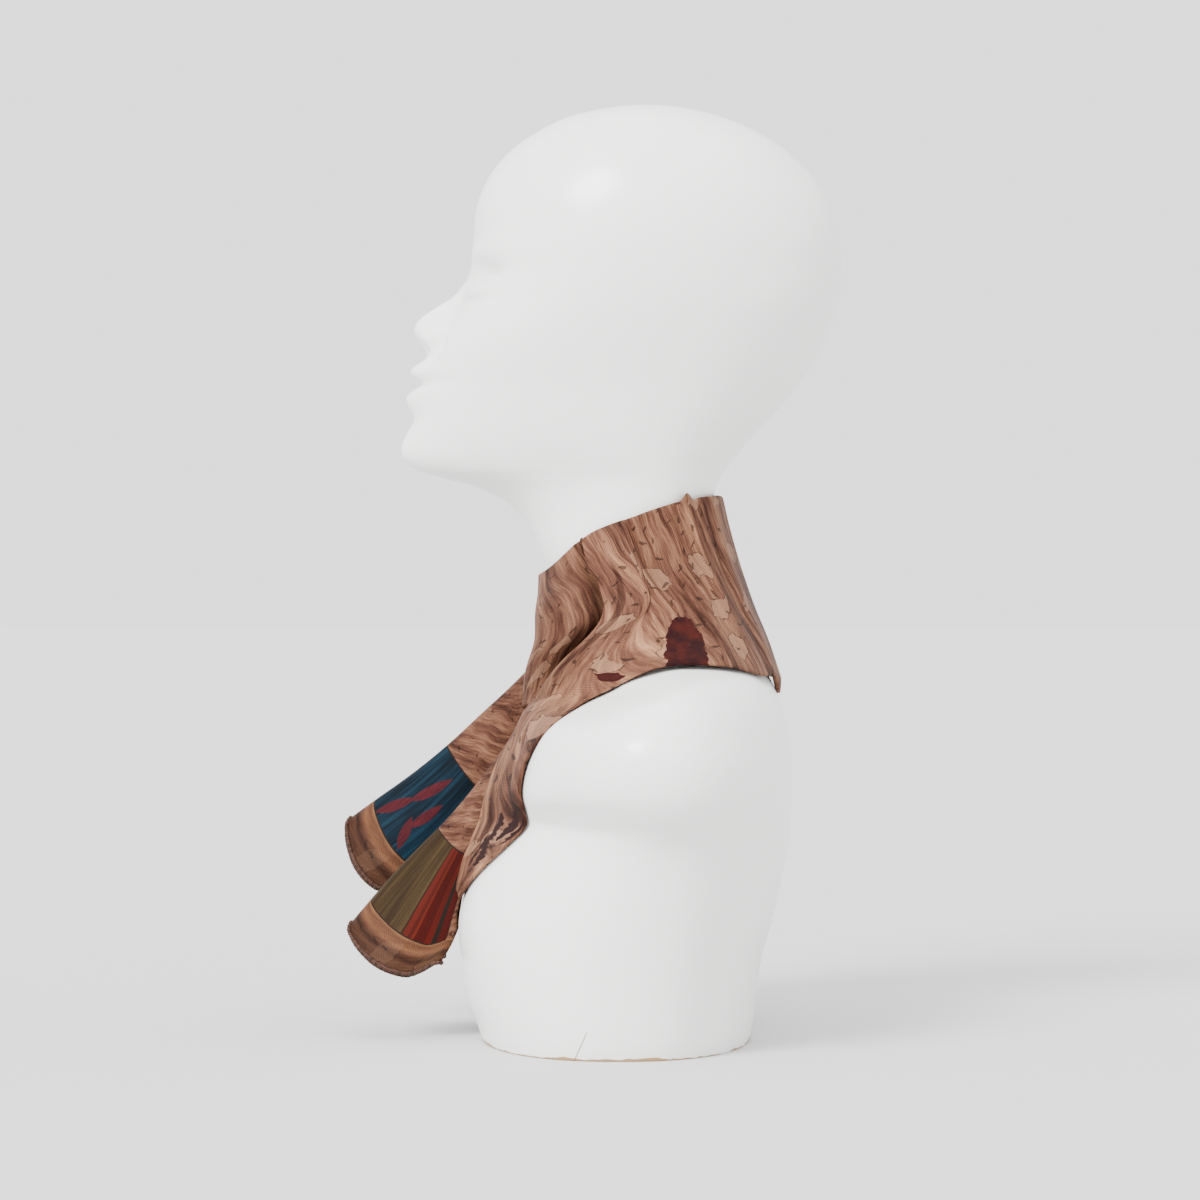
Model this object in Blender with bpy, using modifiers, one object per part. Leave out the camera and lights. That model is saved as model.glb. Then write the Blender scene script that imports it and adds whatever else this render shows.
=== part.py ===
"""A folded silk foulard wound round the neck of a display bust.

The bust faces -Y and stands on its flat base at z = 0, with the origin at the middle of the
base. Its head, neck, shoulder caps and chest are one smooth loft. The foulard is a folded band
of silk, so each stretch of it that shows is a thin wall: the collar round the neck, the fold
that hangs in front, the two stretches that lie on the chest and the two ends that stand out.
Tables are in millimetres, and MM turns them to metres.
"""
import math
from collections import namedtuple

import bmesh
import bpy
from mathutils import Vector

MM = 0.001

# The cloth
CLOTH_WALL = 1.8          # eight layers of silk twill pressed flat
SEAM_GAP = 0.5            # clear space between stretches that lie on each other

# How finely the forms are drawn
BUST_POINTS = 40          # points round a section of the bust
BUST_STEPS = 2            # rings for each row of the bust's table
FACE_STEPS = 4            # the same between the chin and the brow
FACE_HEIGHTS = (277.0, 390.0)
FRONT_CROWDING = 0.55     # how much closer the points lie on the face than on the back
COLLAR_POINTS = 64
COLLAR_STEPS = 2
FOLD_COLUMNS = 10
FOLD_LINES = 9
LAPEL_COLUMNS = 8
LAPEL_STEPS = 2
END_COLUMNS = 12
END_STEPS = 2

Section = namedtuple("Section", "height front back middle half_width front_power back_power")
Swell = namedtuple("Swell", "side height forward half_width half_height")
NoseRow = namedtuple("NoseRow", "height forward half_width")
CollarRow = namedtuple(
    "CollarRow",
    "front back middle half_width at_front at_breast at_side at_blade at_back",
)
Pleat = namedtuple("Pleat", "top_turn bottom_turn width rise")
LapelRow = namedtuple("LapelRow", "inner_side inner_height outer_side outer_height lift")
EndRow = namedtuple("EndRow", "crest_depth crest_height side half_width arch lean")

# The bust, from its base to its crown: where each section's front and back lie, where it is
# widest, how wide it is, and how square its front and back are (2 is an ellipse).
BUST_SECTIONS = (
    Section(0.0, -66.0, 67.0, 2.0, 121.0, 2.3, 2.3),
    Section(8.0, -68.8, 68.5, 2.0, 124.0, 2.3, 2.3),
    Section(22.0, -72.8, 70.0, 3.0, 127.0, 2.3, 2.3),
    Section(42.0, -75.6, 73.4, 6.0, 131.0, 2.25, 2.3),
    Section(60.0, -76.0, 78.5, 10.0, 135.0, 2.15, 2.3),
    Section(76.0, -73.0, 82.2, 14.0, 139.0, 2.05, 2.3),
    Section(90.0, -69.0, 84.8, 18.0, 143.0, 1.95, 2.3),
    Section(101.0, -65.3, 86.4, 20.0, 148.0, 1.8, 2.3),
    Section(109.0, -62.4, 87.2, 21.0, 155.0, 1.68, 2.25),
    Section(116.0, -59.8, 87.7, 22.0, 164.0, 1.8, 2.2),
    Section(126.0, -56.0, 88.0, 22.0, 171.5, 2.08, 2.15),
    Section(140.0, -50.0, 87.8, 22.0, 174.0, 2.28, 2.1),
    Section(153.0, -43.0, 86.0, 22.0, 171.0, 2.35, 2.0),
    Section(165.0, -38.6, 83.0, 23.0, 163.0, 1.6, 1.9),
    Section(173.0, -36.6, 80.0, 26.0, 149.0, 1.2, 1.8),
    Section(178.5, -35.4, 77.2, 30.0, 130.0, 1.2, 1.75),
    Section(182.5, -34.4, 74.8, 31.0, 108.0, 1.3, 1.75),
    Section(187.0, -33.2, 72.2, 27.0, 86.0, 1.5, 1.8),
    Section(195.0, -31.6, 68.0, 20.0, 68.0, 1.75, 1.9),
    Section(206.0, -30.2, 62.0, 14.0, 57.5, 2.0, 2.0),
    Section(220.0, -30.4, 55.8, 11.0, 49.5, 2.0, 2.0),
    Section(232.0, -33.0, 52.0, 9.0, 46.0, 2.0, 2.0),
    Section(245.0, -38.5, 49.5, 9.0, 44.6, 2.0, 2.0),
    Section(257.0, -45.2, 48.5, 10.0, 44.4, 1.95, 2.0),
    Section(266.0, -54.5, 49.0, 11.0, 44.8, 1.85, 2.0),
    Section(272.5, -67.0, 50.4, 11.5, 45.4, 1.75, 2.0),
    Section(277.5, -84.0, 52.4, 11.5, 46.4, 1.65, 2.0),
    Section(281.5, -97.0, 54.8, 10.0, 47.6, 1.6, 2.0),
    Section(287.5, -102.6, 59.4, 8.0, 49.6, 1.65, 2.0),
    Section(297.0, -103.2, 67.4, 6.0, 52.4, 1.75, 2.0),
    Section(309.0, -101.4, 78.6, 5.0, 55.4, 1.85, 2.05),
    Section(322.0, -98.6, 90.0, 6.0, 58.6, 1.95, 2.1),
    Section(335.0, -94.6, 99.0, 8.0, 62.6, 2.05, 2.15),
    Section(349.0, -87.4, 106.0, 12.0, 67.0, 2.15, 2.15),
    Section(363.0, -78.4, 110.8, 16.0, 70.8, 2.2, 2.15),
    Section(378.0, -72.8, 113.0, 19.0, 73.4, 2.2, 2.1),
    Section(395.0, -70.8, 112.7, 20.0, 74.6, 2.15, 2.1),
    Section(412.0, -69.4, 108.6, 20.0, 72.8, 2.1, 2.05),
    Section(427.0, -63.6, 99.4, 19.0, 68.2, 2.05, 2.0),
    Section(440.0, -53.4, 86.8, 18.0, 60.8, 2.0, 2.0),
    Section(450.0, -39.6, 71.2, 17.0, 50.6, 2.0, 2.0),
    Section(457.5, -24.0, 53.6, 16.0, 37.8, 2.0, 2.0),
    Section(462.0, -5.0, 36.0, 15.5, 20.8, 2.0, 2.0),
)
CROWN = Vector((0.0, 15.5, 463.6))

# The nose, from its root down to the lip: how far it stands out of the face.
NOSE_ROWS = (
    NoseRow(384.0, 0.0, 9.0),
    NoseRow(376.0, 1.6, 8.0),
    NoseRow(368.0, 5.6, 7.5),
    NoseRow(361.5, 13.0, 8.0),
    NoseRow(356.0, 16.2, 9.5),
    NoseRow(351.0, 13.2, 11.5),
    NoseRow(345.5, 7.2, 12.0),
    NoseRow(340.0, 1.8, 9.0),
    NoseRow(336.0, 0.0, 8.0),
)

# Soft swells and hollows of the face and chest; a swell to one side has its twin on the other.
SWELLS = (
    Swell(0.0, 331.0, 5.8, 17.0, 5.5),      # upper lip
    Swell(0.0, 325.0, -4.2, 19.0, 2.6),     # line of the mouth
    Swell(0.0, 316.5, 4.6, 15.0, 6.5),      # lower lip
    Swell(0.0, 291.5, 3.6, 17.0, 9.0),      # chin
    Swell(12.0, 348.5, 4.5, 5.0, 6.0),      # wings of the nose
    Swell(31.0, 375.0, -6.5, 15.0, 9.5),    # hollows of the eyes
    Swell(31.0, 369.0, 4.0, 11.0, 6.5),     # closed lids
    Swell(30.0, 387.0, 1.8, 18.0, 6.0),     # brows
    Swell(56.0, 64.0, 4.5, 34.0, 34.0),     # chest
)

# The collar from its top edge down, with one more row that only the front fold reaches. The
# five heights run from the front of the neck round to the back.
COLLAR_ROWS = (
    CollarRow(-36.4, 53.6, 10.0, 49.6, 229.0, 248.0, 257.0, 264.0, 268.0),
    CollarRow(-35.6, 57.2, 11.0, 52.2, 219.0, 235.5, 243.0, 249.0, 251.5),
    CollarRow(-35.8, 62.6, 13.0, 58.4, 208.0, 221.0, 228.5, 232.0, 233.0),
    CollarRow(-36.8, 69.2, 16.0, 69.0, 196.5, 205.0, 213.5, 215.5, 214.5),
    CollarRow(-38.6, 77.0, 18.0, 84.5, 184.5, 189.0, 199.0, 200.5, 196.5),
    CollarRow(-41.2, 83.0, 20.0, 103.0, 171.0, 173.0, 187.0, 187.5, 180.0),
    CollarRow(-44.5, 86.0, 20.0, 108.0, 160.0, 160.0, 176.0, 178.0, 170.0),
)
COLLAR_BOTTOM = 5.0       # the row of the table that is the collar's lower edge

# Pressed pleats that run down the collar and turn towards its back, in degrees round the neck.
PLEATS = (
    Pleat(-48.0, -22.0, 7.0, -1.0),
    Pleat(-22.0, 12.0, 9.0, 1.1),
    Pleat(14.0, 44.0, 7.0, 0.9),
    Pleat(48.0, 66.0, 8.0, 1.0),
    Pleat(112.0, 124.0, 8.0, 0.9),
    Pleat(150.0, 160.0, 9.0, 1.0),
    Pleat(196.0, 204.0, 8.0, 1.1),
)

# The fold that hangs in front, over the collar: where it starts and ends round the neck and
# down the collar's rows, and how far it rolls out.
FOLD_TURNS = (-93.0, -66.0)
FOLD_TOP_ROW = 1.5
FOLD_INNER_ROW = 5.6
FOLD_OUTER_ROW = 5.0
FOLD_ROLL = 5.0

# The stretch on the left of the chest, from the collar down to its tip.
LAPEL_ROWS = (
    LapelRow(30.0, 168.4, 91.0, 169.9, 3.0),
    LapelRow(29.0, 154.0, 101.0, 155.0, 3.6),
    LapelRow(28.5, 141.0, 97.0, 139.5, 4.2),
    LapelRow(28.5, 129.0, 95.0, 123.5, 4.4),
    LapelRow(28.5, 116.0, 89.5, 110.5, 4.2),
    LapelRow(29.0, 102.0, 76.0, 96.5, 3.8),
    LapelRow(30.0, 88.0, 60.0, 84.0, 3.2),
    LapelRow(31.5, 75.0, 43.0, 71.0, 2.6),
)

# The two ends, from the fold out to the hem: the line of the crest, where it lies from side to
# side, the half width and depth of the arch, and the slope of its side walls in degrees.
END_NEAR_ROWS = (
    EndRow(-45.3, 162.9, 4.0, 8.0, 1.6, 45.0),
    EndRow(-52.0, 149.0, 4.0, 10.0, 3.6, 45.0),
    EndRow(-61.0, 136.0, 4.5, 12.0, 6.0, 44.0),
    EndRow(-72.0, 121.5, 5.0, 14.5, 10.5, 42.0),
    EndRow(-84.0, 107.5, 6.0, 17.0, 16.5, 39.0),
    EndRow(-97.0, 94.5, 7.0, 20.0, 26.0, 36.0),
    EndRow(-110.0, 81.0, 8.5, 22.0, 35.0, 33.0),
    EndRow(-122.0, 67.5, 10.0, 22.5, 42.0, 30.0),
    EndRow(-133.5, 54.0, 11.0, 22.5, 45.0, 28.0),
)
END_FAR_ROWS = (
    EndRow(-43.0, 183.0, -14.0, 7.0, 1.6, 48.0),
    EndRow(-54.0, 172.0, -20.0, 10.0, 6.0, 49.0),
    EndRow(-67.5, 159.5, -28.0, 13.5, 15.0, 50.0),
    EndRow(-82.0, 146.0, -35.0, 16.5, 25.0, 51.0),
    EndRow(-95.0, 135.0, -40.0, 18.5, 31.5, 52.0),
    EndRow(-108.0, 125.0, -44.5, 20.0, 37.0, 53.0),
    EndRow(-123.5, 114.0, -48.0, 21.0, 41.0, 54.0),
    EndRow(-138.0, 103.5, -50.5, 21.0, 43.0, 55.0),
)

BUST_COLOUR = (0.87, 0.87, 0.86, 1.0)
CLOTH_COLOUR = (0.40, 0.22, 0.14, 1.0)
BLUE_COLOUR = (0.035, 0.07, 0.11, 1.0)
OLIVE_COLOUR = (0.19, 0.16, 0.09, 1.0)


def smooth_value(values, where):
    """Read a list of numbers at a fractional place, on a smooth curve through them."""
    last = len(values) - 1
    start = min(max(int(math.floor(where)), 0), last - 1)
    step = where - start
    before, here, after, beyond = (values[min(max(start + k, 0), last)] for k in (-1, 0, 1, 2))
    slope = after - before
    bend = 2.0 * before - 5.0 * here + 4.0 * after - beyond
    twist = 3.0 * here - before - 3.0 * after + beyond
    return 0.5 * (2.0 * here + slope * step + bend * step ** 2 + twist * step ** 3)


def table_row(rows, where):
    """Read a whole table at a fractional row."""
    return type(rows[0])(*(smooth_value(column, where) for column in zip(*rows)))


def row_at_height(rows, height):
    """Fractional row of a table that rises in height."""
    for index in range(len(rows) - 1):
        low, high = rows[index].height, rows[index + 1].height
        if height <= high:
            return index + (height - low) / (high - low)
    return float(len(rows) - 1)


def bell(distance, spread):
    return math.exp(-(distance / spread) ** 2)


def forward_relief(side, height):
    """How far the face or chest stands out of its plain section at a point."""
    forward = sum(
        swell.forward
        * bell(height - swell.height, swell.half_height)
        * bell(abs(side) - swell.side, swell.half_width)
        for swell in SWELLS
    )
    top, bottom = NOSE_ROWS[0].height, NOSE_ROWS[-1].height
    if bottom < height < top:
        for upper, lower in zip(NOSE_ROWS, NOSE_ROWS[1:]):
            if lower.height <= height <= upper.height:
                share = (upper.height - height) / (upper.height - lower.height)
                rise = upper.forward + share * (lower.forward - upper.forward)
                width = upper.half_width + share * (lower.half_width - upper.half_width)
                forward += rise * bell(side, width)
    return forward


def bust_point(section, turn):
    """Point on a section of the bust; the front is at a turn of -90 degrees."""
    across, along = math.cos(turn), math.sin(turn)
    if along < 0.0:
        power, reach = section.front_power, section.middle - section.front
    else:
        power, reach = section.back_power, section.back - section.middle
    side = section.half_width * math.copysign(abs(across) ** (2.0 / power), across)
    depth = section.middle + reach * math.copysign(abs(along) ** (2.0 / power), along)
    if along < 0.0:
        depth -= forward_relief(side, section.height) * min(1.0, -3.0 * along)
    return Vector((side, depth, section.height))


def chest_depth(side, height):
    """Depth of the front of the bust beside the middle line, at a height."""
    section = table_row(BUST_SECTIONS, row_at_height(BUST_SECTIONS, height))
    share = min(abs(side) / section.half_width, 1.0)
    reach = (section.middle - section.front) * (
        1.0 - share ** section.front_power) ** (1.0 / section.front_power)
    return section.middle - reach - forward_relief(side, height)


def collar_point(row, turn, out=0.0):
    """Point on the outside of the collar's form, moved out from it."""
    form = table_row(COLLAR_ROWS, row)
    across, along = math.cos(turn), math.sin(turn)
    reach = form.middle - form.front if along < 0.0 else form.back - form.middle
    heights = (form.at_front, form.at_breast, form.at_side, form.at_blade, form.at_back)
    height = smooth_value(heights, 2.0 * (along + 1.0))
    return Vector((
        (form.half_width + out) * across,
        form.middle + (reach + out) * along,
        height,
    ))


def pleat_rise(row, turn):
    """How far the pressed pleats lift the collar at a point."""
    share = row / COLLAR_BOTTOM
    rise = 0.0
    for pleat in PLEATS:
        middle = pleat.top_turn + share * (pleat.bottom_turn - pleat.top_turn)
        away = (math.degrees(turn) - middle + 180.0) % 360.0 - 180.0
        rise += pleat.rise * bell(away, pleat.width)
    return rise * math.sin(math.pi * min(max(share, 0.0), 1.0)) ** 0.5


def new_material(name, colour, roughness):
    material = bpy.data.materials.new(name)
    material.use_nodes = True
    shader = material.node_tree.nodes["Principled BSDF"]
    shader.inputs["Base Color"].default_value = colour
    shader.inputs["Roughness"].default_value = roughness
    shader.inputs["Metallic"].default_value = 0.0
    return material


def new_object(name, mesh, material, collection):
    mesh.materials.append(material)
    mesh.shade_smooth()
    obj = bpy.data.objects.new(name, mesh)
    collection.objects.link(obj)
    return obj


def grid_mesh(name, lines, closed=False):
    """Sheet of quads through lines of points; closed joins each line's end to its start."""
    mesh = bpy.data.meshes.new(name)
    build = bmesh.new()
    verts = [[build.verts.new(point * MM) for point in line] for line in lines]
    columns = len(lines[0])
    for upper, lower in zip(verts, verts[1:]):
        for start in range(columns if closed else columns - 1):
            end = (start + 1) % columns
            build.faces.new((upper[start], lower[start], lower[end], upper[end]))
    build.to_mesh(mesh)
    build.free()
    return mesh


def cloth_object(name, lines, material, collection, closed=False):
    """Wall of folded silk under the outer surface that the lines give."""
    obj = new_object(name, grid_mesh(name, lines, closed), material, collection)
    wall = obj.modifiers.new("Folded layers", "SOLIDIFY")
    wall.thickness = CLOTH_WALL * MM
    wall.offset = -1.0
    wall.use_even_offset = True
    return obj


def build_bust(collection):
    """One closed loft from the flat base to the crown."""
    mesh = bpy.data.meshes.new("display_bust")
    build = bmesh.new()
    turns = []
    for index in range(BUST_POINTS):
        even = 2.0 * math.pi * index / BUST_POINTS
        turns.append(even - FRONT_CROWDING * math.cos(even))
    places = []
    for index, section in enumerate(BUST_SECTIONS[:-1]):
        on_face = FACE_HEIGHTS[0] < section.height < FACE_HEIGHTS[1]
        steps = FACE_STEPS if on_face else BUST_STEPS
        places += [index + step / steps for step in range(steps)]
    places.append(len(BUST_SECTIONS) - 1)
    rings = []
    for place in places:
        section = table_row(BUST_SECTIONS, place)
        rings.append([build.verts.new(bust_point(section, turn) * MM) for turn in turns])
    for lower, upper in zip(rings, rings[1:]):
        for start in range(BUST_POINTS):
            end = (start + 1) % BUST_POINTS
            build.faces.new((lower[start], lower[end], upper[end], upper[start]))
    crown = build.verts.new(CROWN * MM)
    for start in range(BUST_POINTS):
        build.faces.new((rings[-1][start], rings[-1][(start + 1) % BUST_POINTS], crown))
    build.faces.new(reversed(rings[0]))
    build.to_mesh(mesh)
    build.free()
    return new_object("display_bust", mesh, new_material("Gloss white paint", BUST_COLOUR, 0.25),
                      collection)


def build_collar(material, collection):
    """Band that runs all round the neck and spreads on to the shoulders."""
    lines = []
    for index in range(int(COLLAR_BOTTOM) * COLLAR_STEPS + 1):
        row = index / COLLAR_STEPS
        line = []
        for point in range(COLLAR_POINTS):
            turn = -2.0 * math.pi * point / COLLAR_POINTS
            line.append(collar_point(row, turn, pleat_rise(row, turn)))
        lines.append(line)
    return cloth_object("foulard_collar", lines, material, collection, closed=True)


def build_front_fold(material, collection):
    """Rolled fold of the band that hangs over the front of the collar."""
    lines = []
    for line_index in range(FOLD_LINES):
        down = line_index / (FOLD_LINES - 1)
        line = []
        for column in range(FOLD_COLUMNS):
            across = column / (FOLD_COLUMNS - 1)
            bottom = FOLD_OUTER_ROW + across * (FOLD_INNER_ROW - FOLD_OUTER_ROW)
            row = FOLD_TOP_ROW + down * (bottom - FOLD_TOP_ROW)
            turn = math.radians(FOLD_TURNS[1] + across * (FOLD_TURNS[0] - FOLD_TURNS[1]))
            roll = FOLD_ROLL * math.sin(math.pi * across) * (0.35 + 0.65 * down)
            out = CLOTH_WALL + SEAM_GAP + roll + max(pleat_rise(row, turn), 0.0)
            line.append(collar_point(row, turn, out))
        lines.append(line)
    return cloth_object("foulard_front_fold", lines, material, collection)


def build_lapel(name, hand, material, collection):
    """Stretch that lies on one side of the chest; hand is 1 on the left and -1 on the right."""
    lines = []
    for index in range((len(LAPEL_ROWS) - 1) * LAPEL_STEPS + 1):
        row = table_row(LAPEL_ROWS, index / LAPEL_STEPS)
        line = []
        for column in range(LAPEL_COLUMNS + 1):
            share = column / LAPEL_COLUMNS
            side = row.outer_side + share * (row.inner_side - row.outer_side)
            height = row.outer_height + share * (row.inner_height - row.outer_height)
            lift = SEAM_GAP + CLOTH_WALL + row.lift * share ** 2
            line.append(Vector((hand * side, chest_depth(side, height) - lift, height)))
        lines.append(line if hand > 0 else list(reversed(line)))
    return cloth_object(name, lines, material, collection)


def build_end(name, rows, material, collection):
    """Arched end of the band, open towards the chest, from the fold out to its hem."""
    lines = []
    for index in range((len(rows) - 1) * END_STEPS + 1):
        row = table_row(rows, index / END_STEPS)
        lean = math.radians(row.lean)
        inward = Vector((0.0, math.cos(lean), -math.sin(lean)))
        crest = Vector((row.side, row.crest_depth, row.crest_height))
        line = []
        for column in range(END_COLUMNS + 1):
            swing = math.pi * (0.5 - column / END_COLUMNS)
            across = Vector((row.half_width * math.sin(swing), 0.0, 0.0))
            line.append(crest + across + inward * row.arch * (1.0 - math.cos(swing)))
        lines.append(line)
    return cloth_object(name, lines, material, collection)


def build_all():
    for obj in list(bpy.data.objects):
        bpy.data.objects.remove(obj)
    parts = bpy.data.collections.new("foulard_on_display_bust")
    bpy.context.scene.collection.children.link(parts)
    twill = new_material("Printed silk twill", CLOTH_COLOUR, 0.6)
    build_bust(parts)
    build_collar(twill, parts)
    build_front_fold(new_material("Printed silk twill, fold", CLOTH_COLOUR, 0.6), parts)
    build_lapel("foulard_lapel_left", 1,
                new_material("Printed silk twill, left", CLOTH_COLOUR, 0.6), parts)
    build_lapel("foulard_lapel_right", -1,
                new_material("Printed silk twill, right", CLOTH_COLOUR, 0.6), parts)
    build_end("foulard_end_near", END_NEAR_ROWS,
              new_material("Olive silk twill", OLIVE_COLOUR, 0.6), parts)
    build_end("foulard_end_far", END_FAR_ROWS,
              new_material("Blue silk twill", BLUE_COLOUR, 0.6), parts)


build_all()
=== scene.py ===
import math
from collections import namedtuple

import bmesh
import bpy
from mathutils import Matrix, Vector


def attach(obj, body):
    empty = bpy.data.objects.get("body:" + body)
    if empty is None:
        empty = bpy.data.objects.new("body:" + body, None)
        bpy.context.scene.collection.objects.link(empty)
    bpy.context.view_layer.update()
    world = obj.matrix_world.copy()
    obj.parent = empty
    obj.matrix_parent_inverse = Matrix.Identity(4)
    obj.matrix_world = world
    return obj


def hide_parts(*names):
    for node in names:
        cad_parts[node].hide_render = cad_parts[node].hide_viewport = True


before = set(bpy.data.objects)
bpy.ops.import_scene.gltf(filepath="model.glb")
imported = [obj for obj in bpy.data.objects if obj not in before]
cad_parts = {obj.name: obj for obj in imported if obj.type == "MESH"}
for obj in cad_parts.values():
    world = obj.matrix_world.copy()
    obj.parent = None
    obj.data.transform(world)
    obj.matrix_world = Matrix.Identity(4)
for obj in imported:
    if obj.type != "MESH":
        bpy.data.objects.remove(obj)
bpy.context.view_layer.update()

# The studio: an even pale surround, a matt floor of the same brightness, soft light from above
# and over the camera's shoulder. The camera looks level at the bust's left side from 2 m.
MM = 0.001
CAMERA_DISTANCE = 2000 * MM
CAMERA_DEPTH = -7.5 * MM
CAMERA_HEIGHT = 217 * MM
SENSOR_WIDTH = 36.0
LENS_LENGTH = 120.0
FLOOR_REACH = 30.0
FLOOR_HEX = "#CBCBCB"
Lamp = namedtuple("Lamp", "name place power spread")
LAMPS = (
    Lamp("sky_light", (0.1, 0.1, 1.0), 1.2, 60.0),
    Lamp("shoulder_light", (1.0, -0.7, 0.9), 6.0, 24.0),
)
SURROUND_GREY = 2.05


def linear(hex_colour):
    """Turn an sRGB hex colour into the linear values that a shader takes."""
    channels = [int(hex_colour[i:i + 2], 16) / 255.0 for i in (1, 3, 5)]
    return tuple(c / 12.92 if c <= 0.04045 else ((c + 0.055) / 1.055) ** 2.4
                 for c in channels) + (1.0,)


def new_material(name, finish):
    """Material whose shader takes the given values, and that shader."""
    material = bpy.data.materials.new(name)
    material.use_nodes = True
    shader = material.node_tree.nodes["Principled BSDF"]
    for socket, value in finish.items():
        shader.inputs[socket].default_value = value
    return material, shader


def place_object(name, data):
    """Put a new object that holds the given data into the scene."""
    holder = bpy.data.objects.new(name, data)
    bpy.context.scene.collection.objects.link(holder)
    return holder


camera = place_object("camera", bpy.data.cameras.new("camera"))
camera.data.sensor_width = SENSOR_WIDTH
camera.data.lens = LENS_LENGTH
camera.location = (CAMERA_DISTANCE, CAMERA_DEPTH, CAMERA_HEIGHT)
camera.rotation_euler = (math.pi / 2, 0.0, math.pi / 2)
bpy.context.scene.camera = camera

for lamp in LAMPS:
    light = bpy.data.lights.new(lamp.name, "SUN")
    light.energy = lamp.power
    light.angle = math.radians(lamp.spread)
    holder = place_object(lamp.name, light)
    holder.rotation_euler = Vector(lamp.place).to_track_quat("Z", "Y").to_euler()

world = bpy.data.worlds.new("studio_grey")
world.use_nodes = True
world.node_tree.nodes["Background"].inputs["Color"].default_value = (*[SURROUND_GREY] * 3, 1.0)
bpy.context.scene.world = world

floor_mesh = bpy.data.meshes.new("floor")
floor_mesh.from_pydata(
    [(x * FLOOR_REACH, y * FLOOR_REACH, 0.0) for x, y in ((-1, -1), (1, -1), (1, 1), (-1, 1))],
    [], [(0, 1, 2, 3)])
floor = place_object("floor", floor_mesh)
floor_paint = new_material("Matt studio paper", {
    "Base Color": linear(FLOOR_HEX), "Roughness": 0.9, "Specular IOR Level": 0.1})
floor_mesh.materials.append(floor_paint[0])

# The display bust: a hollow fibreglass shell cast in one mould, sanded smooth and sprayed gloss
# white. It is one loft of level sections from the flat base to the crown, and the sections'
# table gives where each one's front and back lie and how wide and how square it is.
BUST_POINTS = 176
BUST_STEPS = 6
FRONT_CROWDING = 0.5
SWELL_REACH = 3.5
RELIEF_FADE = 3.0
Section = namedtuple("Section", "height front back middle half_width front_power back_power")
Swell = namedtuple("Swell", "side height forward half_width half_height")
NoseRow = namedtuple("NoseRow", "height forward half_width")
BUST_SECTIONS = [Section(*row) for row in (
    (0, -66, 67, 2, 121, 2.3, 2.3),
    (8, -68.8, 68.5, 2, 124, 2.3, 2.3),
    (22, -72.8, 70, 3, 127, 2.3, 2.3),
    (42, -75.6, 73.4, 6, 131, 2.25, 2.3),
    (60, -76, 78.5, 10, 135, 2.15, 2.3),
    (76, -73, 82.2, 14, 139, 2.05, 2.3),
    (90, -69, 84.8, 18, 143, 1.95, 2.3),
    (101, -65.3, 86.4, 20, 148, 1.8, 2.3),
    (109, -62.4, 87.2, 21, 155, 1.68, 2.25),
    (116, -59.8, 87.7, 22, 164, 1.8, 2.2),
    (126, -56, 88, 22, 171.5, 2.08, 2.15),
    (140, -50, 87.8, 22, 174, 2.28, 2.1),
    (153, -43, 86, 22, 171, 2.35, 2),
    (165, -38.6, 83, 23, 163, 1.6, 1.9),
    (173, -36.6, 80, 26, 149, 1.2, 1.8),
    (178.5, -35.4, 77.2, 30, 130, 1.2, 1.75),
    (182.5, -34.4, 74.8, 31, 108, 1.3, 1.75),
    (187, -33.2, 72.2, 27, 86, 1.5, 1.8),
    (195, -31.6, 68, 20, 68, 1.75, 1.9),
    (206, -30.2, 62, 14, 57.5, 2, 2),
    (220, -30.4, 55.8, 11, 49.5, 2, 2),
    (232, -33, 52, 9, 46, 2, 2),
    (245, -38.5, 49.5, 9, 44.6, 2, 2),
    (257, -45.2, 48.5, 10, 44.4, 1.95, 2),
    (266, -54.5, 49, 11, 44.8, 1.85, 2),
    (272.5, -67, 50.4, 11.5, 45.4, 1.75, 2),
    (277.5, -84, 52.4, 11.5, 46.4, 1.65, 2),
    (281.5, -97, 54.8, 10, 47.6, 1.6, 2),
    (287.5, -102.6, 59.4, 8, 49.6, 1.65, 2),
    (297, -103.2, 67.4, 6, 52.4, 1.75, 2),
    (309, -101.4, 78.6, 5, 55.4, 1.85, 2.05),
    (322, -98.6, 90, 6, 58.6, 1.95, 2.1),
    (335, -94.6, 99, 8, 62.6, 2.05, 2.15),
    (349, -87.4, 106, 12, 67, 2.15, 2.15),
    (363, -78.4, 110.8, 16, 70.8, 2.2, 2.15),
    (378, -72.8, 113, 19, 73.4, 2.2, 2.1),
    (395, -70.8, 112.7, 20, 74.6, 2.15, 2.1),
    (412, -69.4, 108.6, 20, 72.8, 2.1, 2.05),
    (427, -63.6, 99.4, 19, 68.2, 2.05, 2),
    (440, -53.4, 86.8, 18, 60.8, 2, 2),
    (450, -39.6, 71.2, 17, 50.6, 2, 2),
    (457.5, -24, 53.6, 16, 37.8, 2, 2),
    (462, -5, 36, 15.5, 20.8, 2, 2),
)]
CROWN = Vector((0.0, 15.5, 463.6))
NOSE_ROWS = [NoseRow(*row) for row in (
    (384, 0, 9),
    (376, 1.6, 8),
    (368, 5.6, 7.5),
    (361.5, 13, 8),
    (356, 16.2, 9),
    (351, 14.2, 10),
    (345.5, 8, 10.5),
    (340, 2.4, 8),
    (336, 0, 7),
)]
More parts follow.
